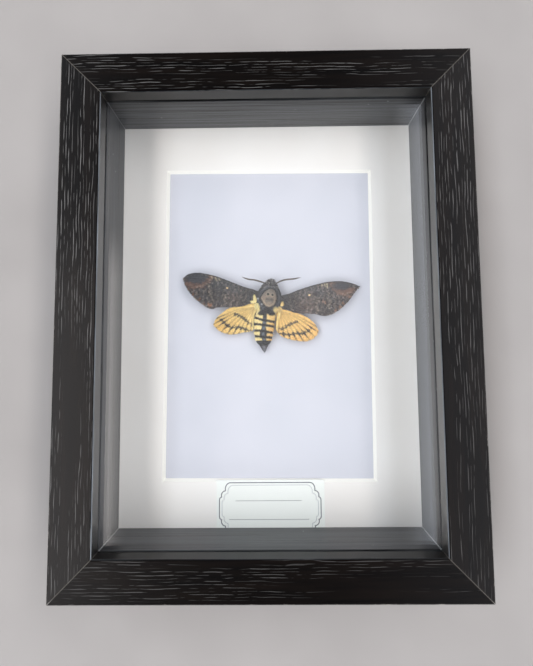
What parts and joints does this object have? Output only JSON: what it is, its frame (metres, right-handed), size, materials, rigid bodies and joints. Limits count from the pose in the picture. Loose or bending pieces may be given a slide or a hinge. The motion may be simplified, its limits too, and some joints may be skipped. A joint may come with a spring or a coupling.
{
  "type": "framed hawkmoth specimen",
  "caption": "Hawkmoth with spread wings, mounted on white card behind a mat in a deep black glazed box frame with a printed label plaque.",
  "frame": {"origin": "middle of the frame's rear face, the frame lying on its back", "axes": "+Z out through the glass, +Y up the picture, +X to the right of the picture"},
  "size_m": [0.177, 0.229, 0.045],
  "materials": {
    "moulding": "black foil wrap over a wooden moulding, with pale broken grain lines, satin",
    "spacer": "dark grey wrapped strip with fine lines along its length, satin",
    "glass": "clear polished picture glass",
    "mat_board": "off-white mat board, matt, with a white bevelled window edge",
    "backing_card": "smooth white card, matt",
    "back_board": "brown hardboard, matt",
    "label": "white label paper with a printed grey border and ruled lines",
    "steel": "zinc plated, slightly dull",
    "moth_body": "dense dry fur, charcoal on the thorax, banded black and yellow on the abdomen",
    "forewing": "matt dark brown and charcoal wing scales",
    "hindwing": "matt yellow wing scales with dark bands",
    "antenna": "dark brown chitin, satin"
  },
  "bodies": {
    "root": {"moulding_bottom": "moulding", "spacer_bottom": "spacer", "moulding_right": "moulding", "spacer_right": "spacer", "moulding_top": "moulding", "spacer_top": "spacer", "moulding_left": "moulding", "spacer_left": "spacer", "glass": "glass", "backing_card": "backing_card", "back_board": "back_board", "mat_board": "mat_board", "label": "label", "retaining_tab_1": "steel", "retaining_tab_2": "steel", "retaining_tab_3": "steel", "retaining_tab_4": "steel", "retaining_tab_5": "steel", "retaining_tab_6": "steel", "retaining_tab_7": "steel", "retaining_tab_8": "steel", "sawtooth_hanger": "steel", "hanger_nail_left": "steel", "hanger_nail_right": "steel", "moth_body": "moth_body", "forewing_left": "forewing", "forewing_right": "forewing", "hindwing_left": "hindwing", "hindwing_right": "hindwing", "antenna_left": "antenna", "antenna_right": "antenna"}
  },
  "joints": []
}
